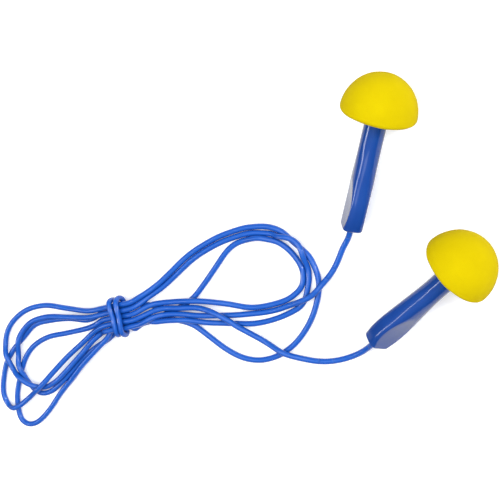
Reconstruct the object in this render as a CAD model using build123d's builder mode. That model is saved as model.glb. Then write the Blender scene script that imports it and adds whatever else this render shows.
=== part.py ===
from build123d import *
import math
import os

import numpy as np

# Corded push-in ear plugs: two foam pods on moulded grips, joined by one cord that is coiled and
# tied with a turn of itself. Millimetres, +Z up, lying on a table at Z = 0.
# The origin is on the table, under the middle of the object's box.

# ---- foam pod ----
POD_RADIUS = 7.0
POD_HEIGHT = 7.48  # from the rim plane to the tip
POD_RIM_DEPTH = 0.35  # how far the dome curves on below its widest plane, the rim plane
POD_RIM_ROUND = 0.75
POD_DISH_DEPTH = 0.55  # how far the underside is hollowed above the rim plane
POD_DISH_RADIUS = 6.0

# ---- moulded stem and grip ----
STEM_RADIUS = 2.05
PLUG_REACH = 22.7  # from the rim plane to the blunt end of the grip
ROUND_LENGTH = 7.0  # of bare round stem below the rim plane
GRIP_WIDTH = 6.2  # across the paddle where it is widest
GRIP_THICKNESS = 4.1  # between its two broad faces, before they are dished
GRIP_END_ROUND = 0.4
SCOOP_RADIUS = 30.0
SCOOP_DEPTH = 0.48
SCOOP_MIDDLE = 18.2  # distance of each thumb dish below the rim plane
TIP_RADIUS = 1.3  # core of the stem inside the pod
BARB_RADIUS = 1.85
TIP_LENGTH = 5.0
GLUE = 0.15  # thickness of the adhesive between the tip and the foam

# ---- cord ----
CORD_RADIUS = 0.575
CORD_GLUE = 0.1  # thickness of the adhesive round the cord in its bore
BORE_DEPTH = 6.0
STRAND_GAP = 0.04  # kept between two strands that lie together
STOREY = 1.2  # rise of a strand that lies on top of another
PITCH = 0.5  # spacing of the points along the cord while it settles
LINK_GAP = 0.32  # cut left in the cord where one stretch turns on the next

# ---- how the plugs lie ----
REST_TILT = math.radians(10.3)  # the pod's rim and the grip's end both touch the table
# name: middle of the rim plane in plan, heading from +Y towards +X, roll of the paddle about the axis
PLUGS = {
    "a": ((35.97, 28.42), math.radians(20.6), math.radians(31.5)),
    "b": ((48.88, 0.45), math.radians(50.3), math.radians(-28.0)),
}
# distance from the grip's end to each bend in the free tail, from the plug towards the coil
BENDS = {
    "a": (0.8, 2.8, 5.2, 7.6, 10.0),
    "b": (0.8, 3.0, 6.2, 9.4, 12.6),
}

# ---- how the cord lies ----
# Where each strand runs, as (x, y, storey). Storey 0 lies on the table and 1 lies on top of a strand.
TAIL_A = [
    (25.9, 3.6, 1.3), (24.95, 1.7, 1.15), (23.9, -0.2, 1.1), (22.5, -2.1, 1.15), (21.0, -3.6, 1.1),
    (19.4, -5.3, 1.2), (17.3, -6.5, 1.2), (14.3, -7.6, 0.7), (10.1, -8.8, 0.3), (6.6, -9.5, 0.3), (0.7, -10.0, 0.6),
    (-5.2, -10.1, 1), (-13.1, -10.0, 1.1),
]
LEFT_LOOP_1 = [
    (-27.7, -13.7, 1.2), (-30.2, -15.3, 1), (-34.2, -19.1, 1), (-38.1, -22.7, 1), (-41.3, -25.3, 1),
    (-44.6, -26.7, 1), (-47.1, -26.3, 1.3), (-48.6, -25.2, 1.9), (-51.2, -23.4, 1.3),
    (-52.9, -20.4, 1), (-53.7, -17.3, 0.4), (-52.2, -13.6, 0), (-47.9, -10.2, 0), (-42.7, -8.9, 0),
    (-37.2, -9.4, 0.3), (-31.1, -9.6, 1.2),
]
RIGHT_LOOP_1 = [
    (-17.0, -5.6, 1.5), (-13.9, -3.5, 1), (-10.3, -0.5, 0.6), (-6.8, 2.3, 0.3), (-3.0, 4.4, 0.1),
    (1.0, 6.1, 0), (6.9, 7.5, 0), (11.2, 7.3, 0), (14.8, 5.1, 0), (17.9, 2.2, 0), (19.7, -0.9, 0),
    (20.1, -4.1, 0), (18.9, -8.7, 0), (16.9, -12.4, 0), (14.1, -15.6, 0), (10.8, -17.8, 0),
    (6.9, -18.9, 0), (3.2, -18.6, 0), (-0.6, -16.9, 0), (-4.2, -14.4, 0), (-7.8, -12.1, 0),
    (-12.7, -11.2, 0), (-17.9, -11.8, 0),
]
LEFT_LOOP_2 = [
    (-27.7, -15.8, 0.1), (-30.4, -17.3, 0), (-34.1, -20.0, 0), (-37.5, -23.2, 0), (-40.2, -25.5, 0),
    (-42.9, -27.5, 0), (-45.5, -28.2, 0), (-47.7, -27.1, 0.1), (-48.6, -25.5, 0.8),
    (-49.5, -23.6, 1), (-50.3, -21.1, 0.7), (-50.1, -18.6, 0.9), (-49.1, -15.5, 1),
    (-46.1, -12.5, 0.9), (-41.9, -11.2, 1), (-36.8, -11.1, 1.1), (-31.0, -10.9, 1.5),
]
RIGHT_LOOP_2 = [
    (-17.0, -6.6, 1), (-13.8, -4.6, 0.6), (-10.3, -1.8, 0.3), (-7.2, 0.7, 0), (-3.2, 3.1, 0),
    (0.9, 4.9, 0), (5.6, 6.1, 0), (10.2, 6.0, 0), (14.8, 5.5, 0.9), (17.0, 3.8, 0.9),
    (17.9, 1.1, 0.4), (17.9, -3.0, 0), (17.4, -5.7, 0), (16.2, -7.8, 0), (13.3, -9.5, 0),
    (9.8, -10.8, 0), (5.9, -11.6, 0), (1.1, -11.7, 0), (-3.8, -11.6, 0.6), (-8.5, -11.1, 1),
    (-14.3, -11.3, 1.1),
]
LEFT_LOOP_3 = [
    (-26.8, -14.8, 1.3), (-29.7, -17.4, 1.2), (-33.3, -20.6, 1.1), (-36.9, -24.0, 0.5),
    (-40.8, -28.0, 0), (-44.3, -32.1, 0), (-47.6, -34.8, 0), (-49.8, -35.3, 0), (-51.5, -34.4, 0),
    (-52.1, -31.9, 0), (-52.0, -28.7, 0), (-50.8, -24.7, 0), (-49.2, -21.0, 0), (-46.7, -18.0, 0),
    (-42.7, -15.8, 0), (-38.0, -14.8, 0), (-32.0, -13.4, 0.6),
]
RIGHT_LOOP_3 = [
    (-16.3, -8.1, 1.2), (-11.3, -7.4, 1), (-5.7, -7.1, 1.2), (-0.4, -7.6, 0.6), (5.3, -8.4, 0),
    (10.0, -7.9, 0), (13.7, -6.5, 0), (16.3, -4.4, 0), (17.3, -2.1, 0.3), (16.5, 0.2, 0.1),
    (14.9, 2.5, 0), (12.6, 4.3, 0), (9.2, 5.6, 0.5), (5.7, 5.2, 0.3), (1.9, 3.4, 0),
    (-2.0, -1.0, 0), (-4.7, -4.2, 0), (-7.6, -7.1, 0), (-12.1, -9.2, 0), (-16.4, -8.4, 0.4),
]
LEFT_LOOP_4 = [
    (-31.9, -11.7, 0.5), (-37.1, -11.6, 0.1), (-42.0, -12.2, 0), (-45.8, -13.2, 0),
    (-48.8, -15.9, 0), (-51.9, -18.9, 0), (-53.8, -21.4, 0), (-55.2, -25.3, 0), (-55.6, -28.9, 0),
    (-54.5, -31.2, 0.4), (-52.4, -31.6, 1), (-50.1, -30.4, 1.1), (-47.1, -28.2, 1.3),
    (-43.6, -25.5, 2), (-41.2, -23.1, 1.6), (-37.7, -19.8, 1.1), (-34.0, -16.9, 1),
    (-30.2, -14.1, 1.1),
]
TAIL_B = [
    (-14.4, -8.9, 1.3), (-9.5, -8.6, 1.1), (-5.6, -8.5, 1.2), (-2.5, -9.2, 1.4), (1.0, -10.9, 1.2),
    (4.2, -12.9, 0.9), (7.8, -14.8, 0.7), (11.5, -16.7, 1.1), (13.6, -17.6, 0.9),
    (16.5, -18.4, 0.3), (19.6, -18.7, 0), (22.7, -18.4, 0.05), (25.3, -17.7, 0.25), (28.0, -16.5, 0.8),
]

# ---- the tie: seven strands in two layers, with one strand wound twice round them ----
TIE_MIDDLE = (-22.9, -10.4)
TIE_HEADING = math.radians(11.2)  # of the bundle, from +X towards +Y
LANE_START, LANE_END = -3.4, 2.9  # the bundle's stretch through the tie, along its heading
LOWER_Z = CORD_RADIUS + 1.17  # the lower layer lies on the turns under it
UPPER_Z = LOWER_Z + 1.05
WRAP_Z = UPPER_Z + 1.17  # of the turns over the bundle
# The wound strand as (along the bundle, across it, height)
WRAP = [
    (2.6, -2.6, CORD_RADIUS), (1.0, -3.5, 0.83), (0.5, -2.2, CORD_RADIUS), (0.3, 0.5, CORD_RADIUS),
    (0.2, 2.8, 0.73), (0.15, 3.75, 2.08), (0.1, 3.0, WRAP_Z - 0.35), (0.25, 0.8, WRAP_Z),
    (0.05, -1.6, WRAP_Z), (-0.25, -3.3, WRAP_Z - 0.5), (-0.5, -4.0, 1.98), (-0.8, -2.9, CORD_RADIUS),
    (-1.1, 0, CORD_RADIUS), (-1.4, 2.7, 0.68), (-1.5, 3.6, 2.08), (-1.5, 2.9, WRAP_Z - 0.35),
    (-1.25, 0.8, WRAP_Z), (-1.25, -1.6, WRAP_Z), (-1.6, -3.2, WRAP_Z - 0.6), (-2.1, -3.6, 1.78),
    (-3.2, -3.0, 0.68),
]


def plug_plane(name):
    """A plug's own frame: Z along its axis to the tip, Y across the paddle, origin in the rim plane."""
    (x, y), heading, roll = PLUGS[name]
    flat = math.cos(REST_TILT)
    axis = Vector(math.sin(heading) * flat, math.cos(heading) * flat, math.sin(REST_TILT))
    right = Vector(math.cos(heading), -math.sin(heading), 0)
    upright = right.cross(axis)
    across = upright * math.cos(roll) + right * math.sin(roll)
    return Plane(origin=(x, y, POD_RADIUS * flat), x_dir=across.cross(axis), z_dir=axis)


def half_section(plane):
    """The plane through a plug's axis on which half outlines are drawn: X outwards, Y along the axis."""
    return Plane(origin=plane.origin, x_dir=plane.x_dir, z_dir=plane.x_dir.cross(plane.z_dir))


def finish(part, name):
    part.label = name
    export_step(part, f"parts/{name}.step")


# ---- pods, stems and their bonds ----
def tip_outline(gap):
    """Half outline of the barbed tip, grown outwards by gap."""
    core = TIP_RADIUS + gap
    barb = BARB_RADIUS + gap
    top = TIP_LENGTH + gap
    return [
        (0, POD_DISH_DEPTH),
        (core, POD_DISH_DEPTH),
        (core, TIP_LENGTH - 1.6 - gap),
        (barb, TIP_LENGTH - 1.2 - gap),
        (barb, TIP_LENGTH - 0.8),
        (0.9 + gap, top),
        (0, top),
    ]


def make_pod(name):
    plane = plug_plane(name)
    section = half_section(plane)
    axis = Axis(plane.origin, plane.z_dir)
    floor = -POD_RIM_DEPTH
    below = math.degrees(math.asin(POD_RIM_DEPTH / POD_HEIGHT))
    with BuildPart() as pod:
        with BuildSketch(section) as outline:
            with BuildLine():
                dome = EllipticalCenterArc((0, 0), POD_RADIUS, POD_HEIGHT, start_angle=-below, arc_size=90 + below)
                Line(dome @ 1, (0, floor))
                Line((0, floor), dome @ 0)
            make_face()
            rim = outline.vertices().group_by(Axis.X)[-1].sort_by(Axis.Y)[0]
            fillet(rim, POD_RIM_ROUND)
        revolve(axis=axis)
        with BuildSketch(section):
            with BuildLine():
                Line((0, floor), (POD_DISH_RADIUS, floor))
                ThreePointArc((POD_DISH_RADIUS, floor), (4.2, 0.3), (STEM_RADIUS + 0.15, POD_DISH_DEPTH))
                Line((STEM_RADIUS + 0.15, POD_DISH_DEPTH), (0, POD_DISH_DEPTH))
                Line((0, POD_DISH_DEPTH), (0, floor))
            make_face()
        revolve(axis=axis, mode=Mode.SUBTRACT)
        with BuildSketch(section):
            with BuildLine():
                Polyline(*tip_outline(GLUE), close=True)
            make_face()
        revolve(axis=axis, mode=Mode.SUBTRACT)
    finish(pod.part, f"foam_pod_{name}")


def make_pod_bond(name):
    plane = plug_plane(name)
    section = half_section(plane)
    axis = Axis(plane.origin, plane.z_dir)
    with BuildPart() as bond:
        for gap, mode in ((GLUE, Mode.ADD), (0, Mode.SUBTRACT)):
            with BuildSketch(section):
                with BuildLine():
                    Polyline(*tip_outline(gap), close=True)
                make_face()
            revolve(axis=axis, mode=mode)
    finish(bond.part, f"pod_adhesive_{name}")


def squircle(half_thick, half_wide, power, count=16):
    """Points round a closed outline that is an ellipse at power 2 and squarer above it."""
    points = []
    for k in range(count):
        angle = 2 * math.pi * (k + 0.5) / count
        c = math.cos(angle)
        s = math.sin(angle)
        size = (abs(c) ** power + abs(s) ** power) ** (-1 / power)
        points.append((half_thick * c * size, half_wide * s * size))
    return points


def make_stem(name):
    plane = plug_plane(name)
    axis = Axis(plane.origin, plane.z_dir)
    thick = GRIP_THICKNESS / 2
    wide = GRIP_WIDTH / 2
    # distance below the rim plane, half thickness, half width, squareness
    stations = [
        (-POD_DISH_DEPTH, STEM_RADIUS, STEM_RADIUS, 2.0),
        (ROUND_LENGTH / 3, STEM_RADIUS, STEM_RADIUS, 2.0),
        (ROUND_LENGTH * 2 / 3, STEM_RADIUS, STEM_RADIUS, 2.0),
        (ROUND_LENGTH, STEM_RADIUS, STEM_RADIUS, 2.0),
        (10.5, thick, STEM_RADIUS + 0.4, 2.3),
        (14.0, thick, wide - 0.4, 2.8),
        (17.5, thick, wide, 3.3),
        (20.5, thick, wide - 0.22, 3.6),
        (PLUG_REACH, thick - 0.1, wide - 0.9, 3.6),
    ]
    with BuildPart() as stem:
        for reach, half_thick, half_wide, power in stations:
            with BuildSketch(plane.offset(-reach)):
                with BuildLine():
                    Spline(*squircle(half_thick, half_wide, power), periodic=True)
                make_face()
        loft()
        fillet(stem.edges().sort_by(axis)[0], GRIP_END_ROUND)
        with BuildSketch(half_section(plane)):
            with BuildLine():
                Polyline(*tip_outline(0), close=True)
            make_face()
        revolve(axis=axis)
        # the thumb dishes: shallow scoops in both broad faces, about lines across the paddle
        scoop_reach = thick - SCOOP_DEPTH + SCOOP_RADIUS
        scoop = Plane(origin=plane.origin, x_dir=plane.x_dir, z_dir=plane.y_dir)
        with BuildSketch(scoop):
            with Locations((scoop_reach, SCOOP_MIDDLE), (-scoop_reach, SCOOP_MIDDLE)):
                Circle(SCOOP_RADIUS)
        extrude(amount=GRIP_WIDTH, both=True, mode=Mode.SUBTRACT)
        with BuildSketch(plane.offset(-PLUG_REACH)):
            Circle(CORD_RADIUS + CORD_GLUE)
        extrude(amount=BORE_DEPTH, mode=Mode.SUBTRACT)
    finish(stem.part, f"stem_grip_{name}")


def make_cord_bond(name):
    plane = plug_plane(name).offset(-PLUG_REACH)
    with BuildPart() as bond:
        with BuildSketch(plane):
            Circle(CORD_RADIUS + CORD_GLUE)
            Circle(CORD_RADIUS, mode=Mode.SUBTRACT)
        extrude(amount=BORE_DEPTH)
    finish(bond.part, f"cord_adhesive_{name}")


# ---- the cord's line ----
def lift(strand):
    return [(x, y, CORD_RADIUS + STOREY * storey) for x, y, storey in strand]


def in_tie(along, across, height):
    """A place in the tie, given along and across its bundle."""
    c = math.cos(TIE_HEADING)
    s = math.sin(TIE_HEADING)
    return (TIE_MIDDLE[0] + along * c - across * s, TIE_MIDDLE[1] + along * s + across * c, height)


def lane(across, height, way):
    """A strand's straight run through the tie, to the right (way 1) or to the left (way -1)."""
    run = [in_tie(along, across, height) for along in (LANE_START, 0, LANE_END)]
    return run[::way]


def grip_exit(name):
    """The cord's line from the bottom of its bore out of the grip's end."""
    plane = plug_plane(name)
    reaches = (PLUG_REACH - BORE_DEPTH, PLUG_REACH - BORE_DEPTH / 2, PLUG_REACH + 0.8, PLUG_REACH + 1.6)
    return [tuple(plane.origin - plane.z_dir * reach) for reach in reaches]


def cord_knots():
    """The whole cord from plug a, through four loops on the left and three on the right, to plug b."""
    run = grip_exit("a") + lift(TAIL_A) + lane(-2.4, UPPER_Z, -1)
    run += lift(LEFT_LOOP_1) + lane(2.4, UPPER_Z, 1) + lift(RIGHT_LOOP_1)
    run += [in_tie(*place) for place in WRAP]
    run += lift(LEFT_LOOP_2) + lane(1.2, UPPER_Z, 1) + lift(RIGHT_LOOP_2) + lane(-1.8, LOWER_Z, -1)
    run += lift(LEFT_LOOP_3) + lane(0, UPPER_Z, 1) + lift(RIGHT_LOOP_3) + lane(1.8, LOWER_Z, -1)
    run += lift(LEFT_LOOP_4) + lane(-1.2, UPPER_Z, 1) + lift(TAIL_B) + grip_exit("b")[::-1]
    return np.array(run)


def smooth_line(knots, pitch):
    """Points at an even pitch on a centripetal Catmull-Rom curve through the knots."""
    p = np.vstack([2 * knots[0] - knots[1], knots, 2 * knots[-1] - knots[-2]])
    t = np.concatenate([[0], np.cumsum(np.sqrt(np.linalg.norm(np.diff(p, axis=0), axis=1)))])

    def between(s, i, j, low, high):
        return ((t[j] - s) * low + (s - t[i]) * high) / (t[j] - t[i])

    pieces = []
    for i in range(1, len(p) - 2):
        s = np.linspace(t[i], t[i + 1], 24, endpoint=False)[:, None]
        a = between(s, i - 1, i, p[i - 1], p[i])
        b = between(s, i, i + 1, p[i], p[i + 1])
        c = between(s, i + 1, i + 2, p[i + 1], p[i + 2])
        pieces.append(between(s, i, i + 1, between(s, i - 1, i + 1, a, b), between(s, i, i + 2, b, c)))
    curve = np.vstack(pieces + [p[-2:-1]])
    s = np.concatenate([[0], np.cumsum(np.linalg.norm(np.diff(curve, axis=0), axis=1))])
    even = np.linspace(0, s[-1], round(s[-1] / pitch) + 1)
    return np.stack([np.interp(even, s, curve[:, k]) for k in range(3)], axis=1)


def settle(line, hold, rounds=420):
    """Lets the cord lie down: strands push apart to a cord's width, bend smoothly and stay above the
    table, and otherwise keep to where they were laid. The first and last points, in the grips, are held."""
    width = 2 * CORD_RADIUS + STRAND_GAP
    apart = math.ceil(2.2 * width / PITCH)  # nearer points than this are one stretch of cord
    order = np.arange(len(line))
    laid = line.copy()
    line = line.copy()
    for turn in range(rounds):
        if turn % 15 == 0:
            reach = np.linalg.norm(line[:, None] - line[None], axis=2)
            one, two = np.nonzero((reach < 1.7 * width) & (order[None] - order[:, None] > apart))
        between = line[one] - line[two]
        distance = np.linalg.norm(between, axis=1)
        push = between * (np.clip(width - distance, 0, None) / np.maximum(distance, 1e-6) / 4)[:, None]
        np.add.at(line, one, push)
        np.add.at(line, two, -push)
        bend = -(line[:-4] - 4 * line[1:-3] + 6 * line[2:-2] - 4 * line[3:-1] + line[4:]) / 16
        loose = turn < 0.85 * rounds
        line[2:-2] += bend * (0.9 if loose else 0.3)
        if loose:
            line[:, :2] += 0.03 * (laid[:, :2] - line[:, :2])
            line[:, 2] += 0.008 * (laid[:, 2] - line[:, 2]) - 0.003
        line[:, 2] = np.maximum(line[:, 2], CORD_RADIUS)
        line[:hold] = laid[:hold]
        line[-hold:] = laid[-hold:]
    return line


def knots_of(line, most_turn=0.2, most_run=2.0):
    """Places of fewer points along a line, which turns by most_turn or runs most_run between two."""
    step = np.diff(line, axis=0)
    length = np.linalg.norm(step, axis=1)
    heading = step / length[:, None]
    picked = [0]
    turned = run = 0.0
    for i in range(1, len(line) - 1):
        turned += math.acos(min(1.0, float(heading[i - 1] @ heading[i])))
        run += length[i - 1]
        if turned > most_turn or run > most_run:
            picked.append(i)
            turned = run = 0.0
    if len(line) - 1 - picked[-1] < 2 and len(picked) > 2:
        picked.pop()
    return picked + [len(line) - 1]


def make_cord(line, name):
    """One stretch of cord: circles square to a line of points, carried along it without twisting."""
    slope = np.gradient(line, axis=0)
    side = np.cross(slope[0], (0, 0, 1.0))
    with BuildPart() as cord:
        for k in knots_of(line):
            along = slope[k] / np.linalg.norm(slope[k])
            side = side - along * (side @ along)
            side = side / np.linalg.norm(side)
            section = Plane(
                origin=tuple(map(float, line[k])),
                x_dir=tuple(map(float, side)),
                z_dir=tuple(map(float, along)),
            )
            with BuildSketch(section):
                Circle(CORD_RADIUS)
        loft(ruled=True, clean=False)
    finish(cord.part, name)


def cut_line(line, start, end):
    """The stretch of an evenly measured line from start to end, as distances along it."""
    s = np.concatenate([[0], np.cumsum(np.linalg.norm(np.diff(line, axis=0), axis=1))])
    inner = s[(s > start + 0.2) & (s < end - 0.2)]
    at = np.concatenate([[start], inner, [end]])
    return np.stack([np.interp(at, s, line[:, k]) for k in range(3)], axis=1)


def cord_stretches():
    """The settled cord, cut at the bends of both tails: {node name: line}."""
    laid = smooth_line(cord_knots(), PITCH)
    line = settle(laid, hold=round((BORE_DEPTH + 1.6) / PITCH))
    total = float(np.linalg.norm(np.diff(line, axis=0), axis=1).sum())
    stretches = {}
    half = LINK_GAP / 2
    coil = [0, total]
    for name, from_start in (("a", True), ("b", False)):
        cuts = [BORE_DEPTH + d for d in BENDS[name]]
        tops = [0] + [c + half for c in cuts]
        ends = [c - half for c in cuts]
        labels = ["cord_end_" + name] + [f"cord_tail_{name}_{k}" for k in range(len(cuts) - 1, 0, -1)]
        for label, top, end in zip(labels, tops, ends):
            span = (top, end) if from_start else (total - end, total - top)
            stretches[label] = cut_line(line, *span)
        coil[0 if from_start else 1] = tops[-1] if from_start else total - tops[-1]
    stretches["cord_coil"] = cut_line(line, *coil)
    return stretches


os.makedirs("parts", exist_ok=True)
for plug in PLUGS:
    make_pod(plug)
    make_pod_bond(plug)
    make_stem(plug)
    make_cord_bond(plug)
for label, stretch in cord_stretches().items():
    make_cord(stretch, label)
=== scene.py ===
import math

import bpy
import numpy as np
from mathutils import Matrix, Vector, noise


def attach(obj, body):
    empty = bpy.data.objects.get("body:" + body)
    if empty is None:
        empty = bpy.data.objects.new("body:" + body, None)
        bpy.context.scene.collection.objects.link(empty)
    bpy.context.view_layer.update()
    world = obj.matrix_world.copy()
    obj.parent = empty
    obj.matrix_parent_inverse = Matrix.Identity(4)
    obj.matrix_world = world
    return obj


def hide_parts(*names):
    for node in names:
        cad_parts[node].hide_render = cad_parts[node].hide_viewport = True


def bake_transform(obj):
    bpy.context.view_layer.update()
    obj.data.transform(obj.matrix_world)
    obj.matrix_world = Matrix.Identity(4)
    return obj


# Corded push-in ear plugs: two foam pods on moulded grips and one cord, coiled and tied. The sizes and
# the cord's line are the CAD part's own, in millimetres, and become metres as each mesh is made.
MM = 0.001

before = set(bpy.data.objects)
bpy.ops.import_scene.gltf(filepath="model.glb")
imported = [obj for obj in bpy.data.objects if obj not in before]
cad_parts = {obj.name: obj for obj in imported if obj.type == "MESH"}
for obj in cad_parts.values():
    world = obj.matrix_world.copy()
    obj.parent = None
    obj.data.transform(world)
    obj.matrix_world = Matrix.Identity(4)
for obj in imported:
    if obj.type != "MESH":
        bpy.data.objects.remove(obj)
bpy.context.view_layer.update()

# ---- foam pod ----
POD_RADIUS = 7.0
POD_HEIGHT = 7.48
POD_RIM_DEPTH = 0.35
POD_RIM_ROUND = 0.75
POD_DISH_DEPTH = 0.55
POD_DISH_RADIUS = 6.0
POD_SIDES = 224

# ---- moulded stem and grip ----
STEM_RADIUS = 2.05
PLUG_REACH = 22.7
ROUND_LENGTH = 7.0
GRIP_WIDTH = 6.2
GRIP_THICKNESS = 4.1
GRIP_END_ROUND = 0.4
SCOOP_RADIUS = 30.0
SCOOP_DEPTH = 0.48
SCOOP_MIDDLE = 18.2
SCOOP_EDGE = 0.05  # softness of the edge round each thumb dish
TIP_RADIUS = 1.3
BARB_RADIUS = 1.85
TIP_END_RADIUS = 0.9
TIP_LENGTH = 5.0
BARB_START, BARB_FULL, BARB_END = 1.6, 1.2, 0.8  # of the barb, back from the tip's end
GLUE = 0.15
STEM_GAP = 0.15  # between the stem and the pod's underside
GRIP_SIDES = 128
GRIP_PITCH = 0.11  # of the rings of its mesh
GRIP_BLUR = 1.2  # reach over which the stations are averaged, either way
# each station: distance below the rim plane, half thickness, half width, squareness of the outline
STATIONS = np.array([
    (-POD_DISH_DEPTH, STEM_RADIUS, STEM_RADIUS, 2.0),
    (ROUND_LENGTH, STEM_RADIUS, STEM_RADIUS, 2.0),
    (10.5, GRIP_THICKNESS / 2, STEM_RADIUS + 0.4, 2.3),
    (14.0, GRIP_THICKNESS / 2, GRIP_WIDTH / 2 - 0.4, 2.8),
    (17.5, GRIP_THICKNESS / 2, GRIP_WIDTH / 2, 3.3),
    (20.5, GRIP_THICKNESS / 2, GRIP_WIDTH / 2 - 0.22, 3.6),
    (PLUG_REACH, GRIP_THICKNESS / 2 - 0.1, GRIP_WIDTH / 2 - 0.9, 3.6),
])

# ---- cord ----
CORD_RADIUS = 0.575
CORD_GLUE = 0.1
BORE_DEPTH = 6.0
STRAND_GAP = 0.04
STOREY = 1.2  # rise from one strand to the strand on it
STRAIGHT_OUT = 1.6  # of cord past the grip, which keeps the bore's heading
PITCH = 0.5  # of the points the cord settles with
RING_PITCH = 0.22  # of the rings of its mesh
CORD_SIDES = 24
CORD_UNEVENNESS = 0.004  # of its radius
BLEND_REACH = 1.6  # greatest reach of the zone worked out round each joint, either way from it

# ---- how the plugs lie ----
REST_TILT = math.radians(10.3)
PLUGS = {
    "a": ((35.97, 28.42), math.radians(20.6), math.radians(31.5)),
    "b": ((48.88, 0.45), math.radians(50.3), math.radians(-28.0)),
}
# from the grip's end to each joint in the free tail; the last number sets where the rigid coil begins
BENDS = {
    "a": (0.8, 2.8, 5.2, 7.6, 10.0, 12.4),
    "b": (0.8, 3.0, 6.2, 9.4, 12.6, 15.8),
}

# ---- how the cord lies: (x, y, storey) ----
TAIL_A = [
    (25.9, 3.6, 1.3), (24.95, 1.7, 1.15), (23.9, -0.2, 1.1), (22.5, -2.1, 1.15), (21.0, -3.6, 1.1),
    (19.4, -5.3, 1.2), (17.3, -6.5, 1.2), (14.3, -7.6, 0.7), (10.1, -8.8, 0.3), (6.6, -9.5, 0.3),
    (0.7, -10.0, 0.6), (-5.2, -10.1, 1), (-13.1, -10.0, 1.1),
]
LEFT_LOOP_1 = [
    (-27.7, -13.7, 1.2), (-30.2, -15.3, 1), (-34.2, -19.1, 1), (-38.1, -22.7, 1), (-41.3, -25.3, 1),
    (-44.6, -26.7, 1), (-47.1, -26.3, 1.3), (-48.6, -25.2, 1.9), (-51.2, -23.4, 1.3),
    (-52.9, -20.4, 1), (-53.7, -17.3, 0.4), (-52.2, -13.6, 0), (-47.9, -10.2, 0), (-42.7, -8.9, 0),
    (-37.2, -9.4, 0.3), (-31.1, -9.6, 1.2),
]
RIGHT_LOOP_1 = [
    (-17.0, -5.6, 1.5), (-13.9, -3.5, 1), (-10.3, -0.5, 0.6), (-6.8, 2.3, 0.3), (-3.0, 4.4, 0.1),
    (1.0, 6.1, 0), (6.9, 7.5, 0), (11.2, 7.3, 0), (14.8, 5.1, 0), (17.9, 2.2, 0), (19.7, -0.9, 0),
    (20.1, -4.1, 0), (18.9, -8.7, 0), (16.9, -12.4, 0), (14.1, -15.6, 0), (10.8, -17.8, 0),
    (6.9, -18.9, 0), (3.2, -18.6, 0), (-0.6, -16.9, 0), (-4.2, -14.4, 0), (-7.8, -12.1, 0),
    (-12.7, -11.2, 0), (-17.9, -11.8, 0),
]
LEFT_LOOP_2 = [
    (-27.7, -15.8, 0.1), (-30.4, -17.3, 0), (-34.1, -20.0, 0), (-37.5, -23.2, 0), (-40.2, -25.5, 0),
    (-42.9, -27.5, 0), (-45.5, -28.2, 0), (-47.7, -27.1, 0.1), (-48.6, -25.5, 0.8),
    (-49.5, -23.6, 1), (-50.3, -21.1, 0.7), (-50.1, -18.6, 0.9), (-49.1, -15.5, 1),
    (-46.1, -12.5, 0.9), (-41.9, -11.2, 1), (-36.8, -11.1, 1.1), (-31.0, -10.9, 1.5),
]
RIGHT_LOOP_2 = [
    (-17.0, -6.6, 1), (-13.8, -4.6, 0.6), (-10.3, -1.8, 0.3), (-7.2, 0.7, 0), (-3.2, 3.1, 0),
    (0.9, 4.9, 0), (5.6, 6.1, 0), (10.2, 6.0, 0), (14.8, 5.5, 0.9), (17.0, 3.8, 0.9),
    (17.9, 1.1, 0.4), (17.9, -3.0, 0), (17.4, -5.7, 0), (16.2, -7.8, 0), (13.3, -9.5, 0),
    (9.8, -10.8, 0), (5.9, -11.6, 0), (1.1, -11.7, 0), (-3.8, -11.6, 0.6), (-8.5, -11.1, 1),
    (-14.3, -11.3, 1.1),
]
LEFT_LOOP_3 = [
    (-26.8, -14.8, 1.3), (-29.7, -17.4, 1.2), (-33.3, -20.6, 1.1), (-36.9, -24.0, 0.5),
    (-40.8, -28.0, 0), (-44.3, -32.1, 0), (-47.6, -34.8, 0), (-49.8, -35.3, 0), (-51.5, -34.4, 0),
    (-52.1, -31.9, 0), (-52.0, -28.7, 0), (-50.8, -24.7, 0), (-49.2, -21.0, 0), (-46.7, -18.0, 0),
    (-42.7, -15.8, 0), (-38.0, -14.8, 0), (-32.0, -13.4, 0.6),
]
RIGHT_LOOP_3 = [
    (-16.3, -8.1, 1.2), (-11.3, -7.4, 1), (-5.7, -7.1, 1.2), (-0.4, -7.6, 0.6), (5.3, -8.4, 0),
    (10.0, -7.9, 0), (13.7, -6.5, 0), (16.3, -4.4, 0), (17.3, -2.1, 0.3), (16.5, 0.2, 0.1),
    (14.9, 2.5, 0), (12.6, 4.3, 0), (9.2, 5.6, 0.5), (5.7, 5.2, 0.3), (1.9, 3.4, 0),
    (-2.0, -1.0, 0), (-4.7, -4.2, 0), (-7.6, -7.1, 0), (-12.1, -9.2, 0), (-16.4, -8.4, 0.4),
]
LEFT_LOOP_4 = [
    (-31.9, -11.7, 0.5), (-37.1, -11.6, 0.1), (-42.0, -12.2, 0), (-45.8, -13.2, 0),
    (-48.8, -15.9, 0), (-51.9, -18.9, 0), (-53.8, -21.4, 0), (-55.2, -25.3, 0), (-55.6, -28.9, 0),
    (-54.5, -31.2, 0.4), (-52.4, -31.6, 1), (-50.1, -30.4, 1.1), (-47.1, -28.2, 1.3),
    (-43.6, -25.5, 2), (-41.2, -23.1, 1.6), (-37.7, -19.8, 1.1), (-34.0, -16.9, 1),
    (-30.2, -14.1, 1.1),
]
TAIL_B = [
    (-14.4, -8.9, 1.3), (-9.5, -8.6, 1.1), (-5.6, -8.5, 1.2), (-2.5, -9.2, 1.4), (1.0, -10.9, 1.2),
    (4.2, -12.9, 0.9), (7.8, -14.8, 0.7), (11.5, -16.7, 1.1), (13.6, -17.6, 0.9),
    (16.5, -18.4, 0.3), (19.6, -18.7, 0), (22.7, -18.4, 0.05), (25.3, -17.7, 0.25), (28.0, -16.5, 0.8),
]

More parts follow.
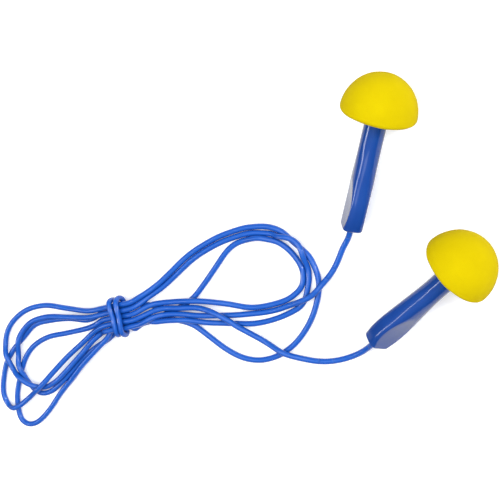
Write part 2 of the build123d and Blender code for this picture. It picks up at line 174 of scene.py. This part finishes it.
# ---- the tie: seven strands in two layers, with one strand wound twice round them ----
TIE_MIDDLE = (-22.9, -10.4)
TIE_HEADING = math.radians(11.2)  # of the bundle, from +X towards +Y
LANE_START, LANE_END = -3.4, 2.9  # the bundle's stretch through the tie, along its heading
LOWER_Z = CORD_RADIUS + 1.17  # the lower layer lies on the turns under it
UPPER_Z = LOWER_Z + 1.05
WRAP_Z = UPPER_Z + 1.17  # of the turns over the bundle
# The wound strand as (along the bundle, across it, height)
WRAP = [
    (2.6, -2.6, CORD_RADIUS), (1.0, -3.5, 0.83), (0.5, -2.2, CORD_RADIUS), (0.3, 0.5, CORD_RADIUS),
    (0.2, 2.8, 0.73), (0.15, 3.75, 2.08), (0.1, 3.0, WRAP_Z - 0.35), (0.25, 0.8, WRAP_Z),
    (0.05, -1.6, WRAP_Z), (-0.25, -3.3, WRAP_Z - 0.5), (-0.5, -4.0, 1.98), (-0.8, -2.9, CORD_RADIUS),
    (-1.1, 0, CORD_RADIUS), (-1.4, 2.7, 0.68), (-1.5, 3.6, 2.08), (-1.5, 2.9, WRAP_Z - 0.35),
    (-1.25, 0.8, WRAP_Z), (-1.25, -1.6, WRAP_Z), (-1.6, -3.2, WRAP_Z - 0.6), (-2.1, -3.6, 1.78),
    (-3.2, -3.0, 0.68),
]


# ---- the cord's line ----
def plug_frame(name):
    """A plug's origin in its rim plane, and its axes: through the paddle, across it, and to the tip."""
    (x, y), heading, roll = PLUGS[name]
    flat = math.cos(REST_TILT)
    axis = np.array([math.sin(heading) * flat, math.cos(heading) * flat, math.sin(REST_TILT)])
    right = np.array([math.cos(heading), -math.sin(heading), 0.0])
    upright = np.cross(right, axis)
    across = upright * math.cos(roll) + right * math.sin(roll)
    return np.array([x, y, POD_RADIUS * flat]), np.cross(across, axis), across, axis


def lift(strand):
    """A strand's points with their storeys made into heights."""
    return [(x, y, CORD_RADIUS + STOREY * storey) for x, y, storey in strand]


def in_tie(along, across, height):
    """A place in the tie, given along and across its bundle."""
    c = math.cos(TIE_HEADING)
    s = math.sin(TIE_HEADING)
    return (TIE_MIDDLE[0] + along * c - across * s, TIE_MIDDLE[1] + along * s + across * c, height)


def lane(across, height, way):
    """A strand's straight run through the tie, to the right (way 1) or to the left (way -1)."""
    run = [in_tie(along, across, height) for along in (LANE_START, 0, LANE_END)]
    return run[::way]


def grip_exit(name):
    """The cord's line from the bottom of its bore out of the grip's end."""
    origin, _, _, axis = plug_frame(name)
    reaches = (
        PLUG_REACH - BORE_DEPTH, PLUG_REACH - BORE_DEPTH / 2, PLUG_REACH + 0.8, PLUG_REACH + STRAIGHT_OUT
    )
    return [tuple(origin - axis * reach) for reach in reaches]


def cord_knots():
    """The whole cord from plug a, through four loops on the left and three on the right, to plug b."""
    run = grip_exit("a") + lift(TAIL_A) + lane(-2.4, UPPER_Z, -1)
    run += lift(LEFT_LOOP_1) + lane(2.4, UPPER_Z, 1) + lift(RIGHT_LOOP_1)
    run += [in_tie(*place) for place in WRAP]
    run += lift(LEFT_LOOP_2) + lane(1.2, UPPER_Z, 1) + lift(RIGHT_LOOP_2) + lane(-1.8, LOWER_Z, -1)
    run += lift(LEFT_LOOP_3) + lane(0, UPPER_Z, 1) + lift(RIGHT_LOOP_3) + lane(1.8, LOWER_Z, -1)
    run += lift(LEFT_LOOP_4) + lane(-1.2, UPPER_Z, 1) + lift(TAIL_B) + grip_exit("b")[::-1]
    return np.array(run)


def smooth_line(knots, pitch):
    """Points at an even pitch on a centripetal Catmull-Rom curve through the knots."""
    p = np.vstack([2 * knots[0] - knots[1], knots, 2 * knots[-1] - knots[-2]])
    t = np.concatenate([[0], np.cumsum(np.sqrt(np.linalg.norm(np.diff(p, axis=0), axis=1)))])

    def between(s, i, j, low, high):
        return ((t[j] - s) * low + (s - t[i]) * high) / (t[j] - t[i])

    pieces = []
    for i in range(1, len(p) - 2):
        s = np.linspace(t[i], t[i + 1], 24, endpoint=False)[:, None]
        a = between(s, i - 1, i, p[i - 1], p[i])
        b = between(s, i, i + 1, p[i], p[i + 1])
        c = between(s, i + 1, i + 2, p[i + 1], p[i + 2])
        pieces.append(between(s, i, i + 1, between(s, i - 1, i + 1, a, b), between(s, i, i + 2, b, c)))
    curve = np.vstack(pieces + [p[-2:-1]])
    s = np.concatenate([[0], np.cumsum(np.linalg.norm(np.diff(curve, axis=0), axis=1))])
    even = np.linspace(0, s[-1], round(s[-1] / pitch) + 1)
    return np.stack([np.interp(even, s, curve[:, k]) for k in range(3)], axis=1)


def settle(line, hold, rounds=420):
    """Lets the cord lie down: strands push apart to a cord's width, bend smoothly and stay above the
    table, and otherwise keep to where they were laid. The first and last points, in the grips, are held."""
    width = 2 * CORD_RADIUS + STRAND_GAP
    apart = math.ceil(2.2 * width / PITCH)  # nearer points than this are one stretch of cord
    order = np.arange(len(line))
    laid = line.copy()
    line = line.copy()
    for turn in range(rounds):
        if turn % 15 == 0:
            reach = np.linalg.norm(line[:, None] - line[None], axis=2)
            one, two = np.nonzero((reach < 1.7 * width) & (order[None] - order[:, None] > apart))
        between = line[one] - line[two]
        distance = np.linalg.norm(between, axis=1)
        push = between * (np.clip(width - distance, 0, None) / np.maximum(distance, 1e-6) / 4)[:, None]
        np.add.at(line, one, push)
        np.add.at(line, two, -push)
        bend = -(line[:-4] - 4 * line[1:-3] + 6 * line[2:-2] - 4 * line[3:-1] + line[4:]) / 16
        loose = turn < 0.85 * rounds
        line[2:-2] += bend * (0.9 if loose else 0.3)
        if loose:
            line[:, :2] += 0.03 * (laid[:, :2] - line[:, :2])
            line[:, 2] += 0.008 * (laid[:, 2] - line[:, 2]) - 0.003
        line[:, 2] = np.maximum(line[:, 2], CORD_RADIUS)
        line[:hold] = laid[:hold]
        line[-hold:] = laid[-hold:]
    return line


# ---- mesh making ----
def new_mesh(name, points, faces, material):
    """A smooth-shaded mesh object from points in millimetres."""
    mesh = bpy.data.meshes.new(name)
    mesh.from_pydata([tuple(p) for p in np.asarray(points, float) * MM], [], faces)
    mesh.update()
    mesh.polygons.foreach_set("use_smooth", [True] * len(mesh.polygons))
    mesh.materials.append(material)
    piece = bpy.data.objects.new(name, mesh)
    bpy.context.scene.collection.objects.link(piece)
    return piece


def skin(rings, sides, start_point=None, end_point=None):
    """Faces of a closed form made of rings of points, its ends closed flat or to a point."""
    points = [p for ring in rings for p in ring]
    faces = []
    for r in range(len(rings) - 1):
        for k in range(sides):
            n = (k + 1) % sides
            faces.append((r * sides + k, r * sides + n, (r + 1) * sides + n, (r + 1) * sides + k))
    last = (len(rings) - 1) * sides
    for point, base, turned in ((start_point, 0, True), (end_point, last, False)):
        ring = list(range(base, base + sides))
        if point is None:
            faces.append(tuple(ring[::-1] if turned else ring))
            continue
        points.append(point)
        tip = len(points) - 1
        for k in range(sides):
            n = (k + 1) % sides
            pair = (ring[n], ring[k]) if turned else (ring[k], ring[n])
            faces.append((*pair, tip))
    return points, faces


# ---- materials ----
def material(name):
    """A new material, its node tree and its shader."""
    made = bpy.data.materials.new(name)
    made.use_nodes = True
    tree = made.node_tree
    return made, tree, tree.nodes["Principled BSDF"]


def node(tree, kind, inputs=None, **settings):
    """A shader node: inputs maps a socket's name or number to a value or to another node's output."""
    made = tree.nodes.new(kind)
    for key, value in settings.items():
        setattr(made, key, value)
    for key, value in (inputs or {}).items():
        if isinstance(value, bpy.types.NodeSocket):
            tree.links.new(value, made.inputs[key])
        else:
            made.inputs[key].default_value = value
    return made


def ramp(tree, factor, stops):
    """A colour ramp from (position, colour) stops."""
    made = node(tree, "ShaderNodeValToRGB", {"Fac": factor})
    elements = made.color_ramp.elements
    while len(elements) < len(stops):
        elements.new(0.5)
    for element, (position, colour) in zip(elements, stops):
        element.position = position
        element.color = (*colour, 1)
    return made.outputs["Color"]


def mix(tree, kind, factor, one, two):
    """The colour that mixes two colours, each a value or another node's output."""
    made = node(tree, "ShaderNodeMix", data_type="RGBA", blend_type=kind)
    for socket, value in ((made.inputs[0], factor), (made.inputs[6], one), (made.inputs[7], two)):
        if isinstance(value, bpy.types.NodeSocket):
            tree.links.new(value, socket)
        else:
            socket.default_value = value if isinstance(value, float) else (*value, 1)
    return made.outputs[2]


def place(tree):
    """Where a point is, in metres, on the piece at rest."""
    return node(tree, "ShaderNodeTexCoord").outputs["Object"]


def clouds(tree, where, scale, detail):
    """Soft noise, from 0 to 1. The scale is per metre."""
    return node(
        tree, "ShaderNodeTexNoise", {"Vector": where, "Scale": scale, "Detail": detail}
    ).outputs["Fac"]


def foam_material():
    """Matt open-celled foam: pores, a fine grain, and light that spreads a little under the skin, with
    painted shade darkening it towards its edges and in its pores.
    """
    made, tree, shader = material("foam_skin")
    where = place(tree)
    # painted shade: towards the silhouette the colour darkens from mid to side to edge
    edge = node(tree, "ShaderNodeLayerWeight", {"Blend": 0.32}).outputs["Facing"]
    body = ramp(tree, edge, [(0.0, FOAM_MID), (0.55, FOAM_SIDE_SHADE), (1.0, FOAM_EDGE_SHADE)])
    cloud = ramp(tree, clouds(tree, where, 190.0, 3.0), [(0.3, (0.94, 0.93, 0.9)), (0.7, (1.0, 1.0, 1.0))])
    body = mix(tree, "MULTIPLY", 1.0, body, cloud)
    cells = node(tree, "ShaderNodeTexVoronoi", {"Vector": where, "Scale": 3600.0}).outputs["Distance"]
    # painted shade: the pores' hollows are coloured a little darker
    pores = ramp(tree, cells, [(0.05, (0.9, 0.88, 0.8)), (0.32, (1.0, 1.0, 1.0))])
    body = mix(tree, "MULTIPLY", 0.6, body, pores)
    tree.links.new(body, shader.inputs["Base Color"])
    grain = clouds(tree, where, 1500.0, 6.0)
    bump = node(tree, "ShaderNodeBump", {"Height": grain, "Strength": 0.22, "Distance": 0.06 * MM})
    dents = node(
        tree, "ShaderNodeBump",
        {"Height": cells, "Strength": 0.35, "Distance": 0.04 * MM, "Normal": bump.outputs["Normal"]},
    )
    tree.links.new(dents.outputs["Normal"], shader.inputs["Normal"])
    shader.inputs["Roughness"].default_value = 0.88
    shader.inputs["Specular IOR Level"].default_value = 0.06
    shader.inputs["Subsurface Weight"].default_value = 0.15
    shader.inputs["Subsurface Radius"].default_value = (1.0, 0.7, 0.15)
    shader.inputs["Subsurface Scale"].default_value = 0.6 * MM
    return made


def plastic_material(name, mid, side, edge_shade, roughness, grain_scale):
    """Moulded or extruded plastic: darker to its edges with painted shade, with faint clouds, a fine grain
    and a clear gloss.
    """
    made, tree, shader = material(name)
    where = place(tree)
    # painted shade: the colour darkens from mid to side to edge as the surface turns away from the camera
    edge = node(tree, "ShaderNodeLayerWeight", {"Blend": 0.4}).outputs["Facing"]
    body = ramp(tree, edge, [(0.0, mid), (0.42, side), (0.86, edge_shade)])
    cloud = ramp(tree, clouds(tree, where, 260.0, 4.0), [(0.3, (0.84, 0.88, 0.93)), (0.72, (1.0, 1.0, 1.0))])
    tree.links.new(mix(tree, "MULTIPLY", 1.0, body, cloud), shader.inputs["Base Color"])
    gloss = node(tree, "ShaderNodeMapRange", {
        "Value": clouds(tree, where, 900.0, 3.0), "From Min": 0.3, "From Max": 0.7,
        "To Min": roughness * 0.8, "To Max": roughness * 1.35,
    })
    tree.links.new(gloss.outputs["Result"], shader.inputs["Roughness"])
    grain = clouds(tree, where, grain_scale, 3.0)
    bump = node(tree, "ShaderNodeBump", {"Height": grain, "Strength": 0.2, "Distance": 0.02 * MM})
    tree.links.new(bump.outputs["Normal"], shader.inputs["Normal"])
    shader.inputs["IOR"].default_value = 1.42
    return made


def adhesive_material():
    """Cured adhesive: pale, cloudy and slightly see-through."""
    made, tree, shader = material("cured_adhesive")
    cloud = clouds(tree, place(tree), 1200.0, 4.0)
    body = ramp(tree, cloud, [(0.3, (0.55, 0.53, 0.44)), (0.7, (0.7, 0.69, 0.6))])
    tree.links.new(body, shader.inputs["Base Color"])
    bump = node(tree, "ShaderNodeBump", {"Height": cloud, "Strength": 0.4, "Distance": 0.04 * MM})
    tree.links.new(bump.outputs["Normal"], shader.inputs["Normal"])
    shader.inputs["Roughness"].default_value = 0.35
    shader.inputs["Transmission Weight"].default_value = 0.3
    return made


# linear colours, seen square on, part way round and at the edge; the darker side and edge colours are painted
# shade
FOAM_MID = (0.60, 0.47, 0.0)
FOAM_SIDE_SHADE = (0.55, 0.415, 0.0)
FOAM_EDGE_SHADE = (0.33, 0.24, 0.002)
GRIP_MID = (0.008, 0.062, 0.31)
GRIP_SIDE_SHADE = (0.007, 0.048, 0.25)
GRIP_EDGE_SHADE = (0.002, 0.010, 0.06)
CORD_MID = (0.012, 0.112, 0.52)
CORD_SIDE_SHADE = (0.008, 0.085, 0.44)
CORD_EDGE_SHADE = (0.002, 0.018, 0.13)
foam = foam_material()
grip_plastic = plastic_material("grip_plastic", GRIP_MID, GRIP_SIDE_SHADE, GRIP_EDGE_SHADE, 0.13, 1400.0)
cord_plastic = plastic_material("cord_plastic", CORD_MID, CORD_SIDE_SHADE, CORD_EDGE_SHADE, 0.15, 900.0)
adhesive = adhesive_material()


# ---- the pods ----
def arc(centre, radius, start, end, count):
    """Points on an arc, from angle start to end in degrees."""
    angles = np.radians(np.linspace(start, end, count))
    return [(centre[0] + radius * math.cos(t), centre[1] + radius * math.sin(t)) for t in angles]


def dense(outline, pitch):
    """More points on a chain of straight lines, so that none is longer than pitch."""
    out = [outline[0]]
    for (x0, y0), (x1, y1) in zip(outline, outline[1:]):
        count = max(1, math.ceil(math.hypot(x1 - x0, y1 - y0) / pitch))
        out += [(x0 + (x1 - x0) * k / count, y0 + (y1 - y0) * k / count) for k in range(1, count + 1)]
    return out


def tip_outline(gap):
    """Half outline of the barbed tip above the stem, grown outwards by gap."""
    core = TIP_RADIUS + gap
    barb = BARB_RADIUS + gap
    return [
        (core, POD_DISH_DEPTH),
        (core, TIP_LENGTH - BARB_START - gap),
        (barb, TIP_LENGTH - BARB_FULL - gap),
        (barb, TIP_LENGTH - BARB_END),
        (TIP_END_RADIUS + gap, TIP_LENGTH + gap),
        (0.12, TIP_LENGTH + gap),
    ]


def pod_outline():
    """Half outline of a pod: over the dome, round the rim, along the hollow underside, up the socket."""
    low = math.asin(POD_RIM_DEPTH / POD_HEIGHT)
    high = math.radians(89.3)
    angles = np.linspace(high, -low, 120)
    dome = [(POD_RADIUS * math.cos(t), POD_HEIGHT * math.sin(t)) for t in angles]
    x, floor = dome[-1][0], -POD_RIM_DEPTH
    dome = [p for p in dome if p[1] > floor + POD_RIM_ROUND * 0.96]
    rim = arc((x - POD_RIM_ROUND, floor + POD_RIM_ROUND), POD_RIM_ROUND, -6, -90, 14)
    under = []
    for t in np.linspace(0, 1, 44):
        r = POD_DISH_RADIUS + (STEM_RADIUS + STEM_GAP - POD_DISH_RADIUS) * t
        under.append((r, floor + (POD_DISH_DEPTH - floor) * math.sin(t * math.pi / 2)))
    socket = dense(tip_outline(GLUE), 0.35)
    return dome + rim + under + socket


def make_pod(name, wave, seed):
    """A foam pod with a slightly uneven rim and skin; wave is the rim's unevenness in millimetres."""
    origin, through, across, axis = plug_frame(name)
    rings = []
    turns = np.linspace(0, 2 * math.pi, POD_SIDES, endpoint=False)
    for r, h in pod_outline():
        ring = []
        near_rim = math.exp(-((h - 0.2) / 1.6) ** 2) * min(1.0, max(0.0, (r - 2.4) / 2.0))
        skinned = min(1.0, max(0.0, (r - 2.2) / 1.5)) if h < 1 else 1.0
        for turn in turns:
            c, s = math.cos(turn), math.sin(turn)
            lump = noise.noise(Vector((c * r * 0.45, s * r * 0.45, h * 0.45 + seed)))
            fine = noise.fractal(Vector((c * r * 2.1, s * r * 2.1, h * 2.1 + seed)), 0.6, 2.2, 4)
            swell = 0.035 * lump + 0.012 * fine
            if r < 1.9 and TIP_LENGTH < h < TIP_LENGTH + 0.5:  # the socket's end stays true
                swell = 0.0
            ripple = wave * noise.noise(Vector((c * 2.1, s * 2.1, seed * 3.1)))
            out = r + skinned * swell * (1 if r > 1.0 else 0)
            up = h + near_rim * ripple + skinned * swell * h / POD_HEIGHT
            ring.append(origin + through * c * out + across * s * out + axis * up)
        rings.append(ring)
    top = origin + axis * POD_HEIGHT
    bottom = origin + axis * (TIP_LENGTH + GLUE)
    points, faces = skin(rings, POD_SIDES, top, bottom)
    piece = new_mesh("pod_foam_" + name, points, faces, foam)
    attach(piece, "plug_" + name)
    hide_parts("foam_pod_" + name)


# ---- the stems and grips ----
def section(reach, inset=0.0):
    """The grip's outline at a distance below the rim plane, as (through, across) pairs."""
    blur = np.linspace(-GRIP_BLUR, GRIP_BLUR, 9)
    at = np.clip(reach + blur, -POD_DISH_DEPTH, PLUG_REACH)
    half_thick, half_wide, power = (np.interp(at, STATIONS[:, 0], STATIONS[:, k]).mean() for k in (1, 2, 3))
    turns = np.linspace(0, 2 * math.pi, GRIP_SIDES, endpoint=False)
    c, s = np.cos(turns), np.sin(turns)
    size = (np.abs(c) ** power + np.abs(s) ** power) ** (-1 / power)
    x, y = (half_thick - inset) * c * size, (half_wide - inset) * s * size
    depth = GRIP_THICKNESS / 2 - SCOOP_DEPTH + SCOOP_RADIUS
    flat = depth - math.sqrt(SCOOP_RADIUS ** 2 - (reach - SCOOP_MIDDLE) ** 2) - inset
    cut = -SCOOP_EDGE * np.logaddexp(-np.abs(x) / SCOOP_EDGE, -flat / SCOOP_EDGE)
    x = np.where(reach > ROUND_LENGTH + 1, np.sign(x) * np.maximum(cut, 0), x)
    return x, y


def make_grip(name):
    """The barbed tip, round stem and paddle with thumb dishes, and the bore for the cord."""
    origin, through, across, axis = plug_frame(name)
    turns = np.linspace(0, 2 * math.pi, GRIP_SIDES, endpoint=False)
    c, s = np.cos(turns), np.sin(turns)
    outlines = [(c * x, s * x, h) for x, h in dense(tip_outline(0), 0.4)[::-1]]
    outlines += [(c * x, s * x, POD_DISH_DEPTH) for x in (1.45, 1.65, 1.85, 2.0)]
    body = np.arange(-POD_DISH_DEPTH + 0.04, PLUG_REACH - GRIP_END_ROUND, GRIP_PITCH)
    outlines += [(*section(reach), -reach) for reach in body]
    for t in np.radians(np.linspace(0, 90, 9)):
        reach = PLUG_REACH - GRIP_END_ROUND + GRIP_END_ROUND * math.sin(t)
        outlines.append((*section(reach, GRIP_END_ROUND * (1 - math.cos(t))), -reach))
    x, y = section(PLUG_REACH, GRIP_END_ROUND)
    bore = CORD_RADIUS + CORD_GLUE
    for share in (0.25, 0.5, 0.75, 0.92):
        outlines.append((x + (c * bore - x) * share, y + (s * bore - y) * share, -PLUG_REACH))
    for depth in (0.0, 0.03, 0.08, 1.0, 3.0, BORE_DEPTH - 0.05, BORE_DEPTH):
        lip = 0.04 * math.exp(-depth / 0.04)
        outlines.append((c * (bore + lip), s * (bore + lip), -PLUG_REACH + depth))
    rings = [
        origin + np.outer(x, through) + np.outer(y, across) + np.outer(np.full(GRIP_SIDES, h), axis)
        for x, y, h in outlines
    ]
    top = origin + axis * TIP_LENGTH
    bottom = origin - axis * (PLUG_REACH - BORE_DEPTH)
    points, faces = skin(rings, GRIP_SIDES, top, bottom)
    piece = new_mesh("grip_moulding_" + name, points, faces, grip_plastic)
    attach(piece, "plug_" + name)
    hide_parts("stem_grip_" + name)


# ---- the cord ----
def cord_rings(line):
    """Rings of points square to the cord's line, carried along it without twisting."""
    slope = np.gradient(line, axis=0)
    slope /= np.linalg.norm(slope, axis=1)[:, None]
    side = np.cross(slope[0], (0, 0, 1.0))
    turns = np.linspace(0, 2 * math.pi, CORD_SIDES, endpoint=False)
    c, s = np.cos(turns)[:, None], np.sin(turns)[:, None]
    rings = []
    for k, along in enumerate(slope):
        side = side - along * (side @ along)
        side /= np.linalg.norm(side)
        unevenness = CORD_UNEVENNESS * noise.noise(Vector((k * RING_PITCH * 0.35, 0, 0)))
        radius = CORD_RADIUS * (1 + unevenness)
        rings.append(line[k] + radius * (c * side + s * np.cross(along, side)))
    return rings


laid = smooth_line(cord_knots(), PITCH)
settled = settle(laid, hold=round((BORE_DEPTH + STRAIGHT_OUT) / PITCH))
cord_line = smooth_line(settled, RING_PITCH)
rings_of_cord = cord_rings(cord_line)
cord_reach = np.concatenate([[0], np.cumsum(np.linalg.norm(np.diff(cord_line, axis=0), axis=1))])
total = cord_reach[-1]


def ball_end(ring, away):
    """Rings that close a tube with half a ball, from its end ring out along away."""
    middle = ring.mean(axis=0)
    away = away / np.linalg.norm(away)
    angles = np.radians([15, 30, 45, 60, 75, 87])
    return [middle + (ring - middle) * math.cos(t) + away * CORD_RADIUS * math.sin(t) for t in angles]


def cord_piece(name, start, end, node_names, round_start=False, round_end=False):
    """The cord between two distances along it, as a closed tube that stands for CAD nodes."""
    first, last = (int(np.searchsorted(cord_reach, distance)) for distance in (start, end))
    tube = rings_of_cord[first : last + 1]
    if round_start:
        tube = ball_end(tube[0], cord_line[first] - cord_line[first + 1])[::-1] + tube
    if round_end:
        tube = tube + ball_end(tube[-1], cord_line[last] - cord_line[last - 1])
    points, faces = skin(tube, CORD_SIDES)
    piece = new_mesh(name, points, faces, cord_plastic)
    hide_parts(*node_names)
    return piece


# Each tail is four pieces, counted from the plug. Each holds one joint and reaches half way to the next, save
# at the third joint, the second swing, where two pieces meet with a ball for their ends.
coil_span = []
for name, from_start in (("a", True), ("b", False)):
    bends = BENDS[name]
    bounds = [0.0] + [BORE_DEPTH + (one + two) / 2 for one, two in zip(bends, bends[1:])]
    knuckle = BORE_DEPTH + bends[2]
    bounds[2] = bounds[3] = knuckle
    nodes = ["cord_end_" + name] + [f"cord_tail_{name}_{k}" for k in (4, 3, 2, 1)]
    for k in (0, 1, 3, 4):
        near, far = bounds[k], bounds[k + 1]
        span = (near, far) if from_start else (total - far, total - near)
        balls = (near == knuckle, far == knuckle)
        balls = balls if from_start else balls[::-1]
        stands_for = nodes[1:3] if k == 1 else nodes[k : k + 1]
        piece = cord_piece(f"cord_bend_{name}_{k + 1}", *span, stands_for, *balls)
        hinge = BORE_DEPTH + bends[k]
        zone = 0.9 * min(far - hinge, hinge - near, BLEND_REACH)
        coil_side, plug_side = hinge + zone, hinge - zone
        if not from_start:
            coil_side, plug_side = total - coil_side, total - plug_side
        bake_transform(piece)
    coil_span.append(bounds[5] if from_start else total - bounds[5])
coil = cord_piece("cord_coil_and_tie", *coil_span, ["cord_coil"])
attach(coil, "coil")

make_pod("a", 0.10, 4.0)
make_pod("b", 0.22, 11.0)
for name in PLUGS:
    make_grip(name)
    for bond in ("pod_adhesive_", "cord_adhesive_"):
        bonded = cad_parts[bond + name]
        bonded.data.materials.clear()
        bonded.data.materials.append(adhesive)

# ---- floor, light and camera ----
scene = bpy.context.scene
floor_mesh = bpy.data.meshes.new("studio_floor")
FLOOR_HALF = 3.0
corners = [(x * FLOOR_HALF, y * FLOOR_HALF, 0) for x, y in ((-1, -1), (1, -1), (1, 1), (-1, 1))]
floor_mesh.from_pydata(corners, [], [(0, 1, 2, 3)])
floor = bpy.data.objects.new("studio_floor", floor_mesh)
floor.location.z = -0.01 * MM
scene.collection.objects.link(floor)
paper, tree, shader = material("studio_paper")
speckle = clouds(tree, place(tree), 60.0, 3.0)
speckle = ramp(tree, speckle, [(0.3, (0.86, 0.86, 0.86)), (0.7, (0.88, 0.88, 0.88))])
tree.links.new(speckle, shader.inputs["Base Color"])
shader.inputs["Roughness"].default_value = 0.9
shader.inputs["Emission Color"].default_value = (1, 1, 1, 1)
# The paper glows like a light table, so that shadows all but vanish. Further out it glows more, but
# only to the camera, which hides the horizon and leaves the light on the object alone.
TABLE_GLOW, FAR_GLOW = 0.3, 0.7
away = node(tree, "ShaderNodeVectorMath", {0: place(tree)}, operation="LENGTH").outputs["Value"]
gain = node(
    tree, "ShaderNodeMapRange",
    {"Value": away, "From Min": 0.15, "From Max": 0.7, "To Min": 0.0, "To Max": FAR_GLOW},
).outputs["Result"]
camera_ray = node(tree, "ShaderNodeLightPath").outputs["Is Camera Ray"]
emission = node(tree, "ShaderNodeMath", {0: gain, 1: camera_ray, 2: TABLE_GLOW}, operation="MULTIPLY_ADD")
tree.links.new(emission.outputs["Value"], shader.inputs["Emission Strength"])
shader.inputs["Specular IOR Level"].default_value = 0.1
floor_mesh.materials.append(paper)

LOOK_AT = Vector((5.9, 2.9, 0)) * MM
CAMERA_REACH = 243.7 * MM
CAMERA_LENS = 90.2
LEAN_RIGHT, LEAN_UP = math.radians(25.3), math.radians(9.4)  # of the line of sight, from straight down
back = Vector((math.tan(LEAN_RIGHT), math.tan(LEAN_UP), 1)).normalized()
right = (Vector((1, 0, 0)) - back * back.x).normalized()
up = Vector((0, 1, 0)) - back * back.y
up = (up - right * up.dot(right)).normalized()
camera_data = bpy.data.cameras.new("camera")
camera_data.lens = CAMERA_LENS
camera_data.clip_start = 0.01
camera = bpy.data.objects.new("camera", camera_data)
scene.collection.objects.link(camera)
turn = Matrix((right, up, back)).transposed().to_4x4()
camera.matrix_world = Matrix.Translation(LOOK_AT + back * CAMERA_REACH) @ turn
scene.camera = camera


def softbox(name, where, size_x, size_y, power):
    """An area light that faces the middle of the object."""
    data = bpy.data.lights.new(name, "AREA")
    data.shape = "RECTANGLE"
    data.size, data.size_y = size_x, size_y
    data.energy = power
    lamp = bpy.data.objects.new(name, data)
    lamp.location = where
    lamp.rotation_euler = (Vector(where) - LOOK_AT).to_track_quat("Z", "Y").to_euler()
    scene.collection.objects.link(lamp)


softbox("overhead", (0.10, 0.10, 0.60), 0.7, 0.7, 3.5)
softbox("right_strip", (0.52, 0.16, 0.34), 0.02, 0.5, 1.9)
softbox("left_fill", (-0.5, -0.1, 0.45), 0.06, 0.5, 1.3)
world = bpy.data.worlds.new("studio")
world.use_nodes = True
sky = world.node_tree
height = node(sky, "ShaderNodeSeparateXYZ", {"Vector": node(sky, "ShaderNodeTexCoord").outputs["Generated"]})
WORLD_STRENGTH = 0.62
daylight = ramp(
    sky, height.outputs["Z"], [(0.0, (0.16, 0.17, 0.19)), (0.45, (0.34, 0.35, 0.37)), (0.9, (1, 1, 1))]
)
lighting = sky.nodes["Background"]
sky.links.new(daylight, lighting.inputs["Color"])
lighting.inputs["Strength"].default_value = WORLD_STRENGTH
# past the floor's edge the camera sees plain white
white = node(sky, "ShaderNodeBackground", {"Color": (1, 1, 1, 1), "Strength": 1.0})
camera_ray = node(sky, "ShaderNodeLightPath").outputs["Is Camera Ray"]
shown = node(sky, "ShaderNodeMixShader", {0: camera_ray, 1: lighting.outputs[0], 2: white.outputs[0]})
sky.links.new(shown.outputs[0], sky.nodes["World Output"].inputs["Surface"])
scene.world = world
scene.view_settings.view_transform = "Standard"
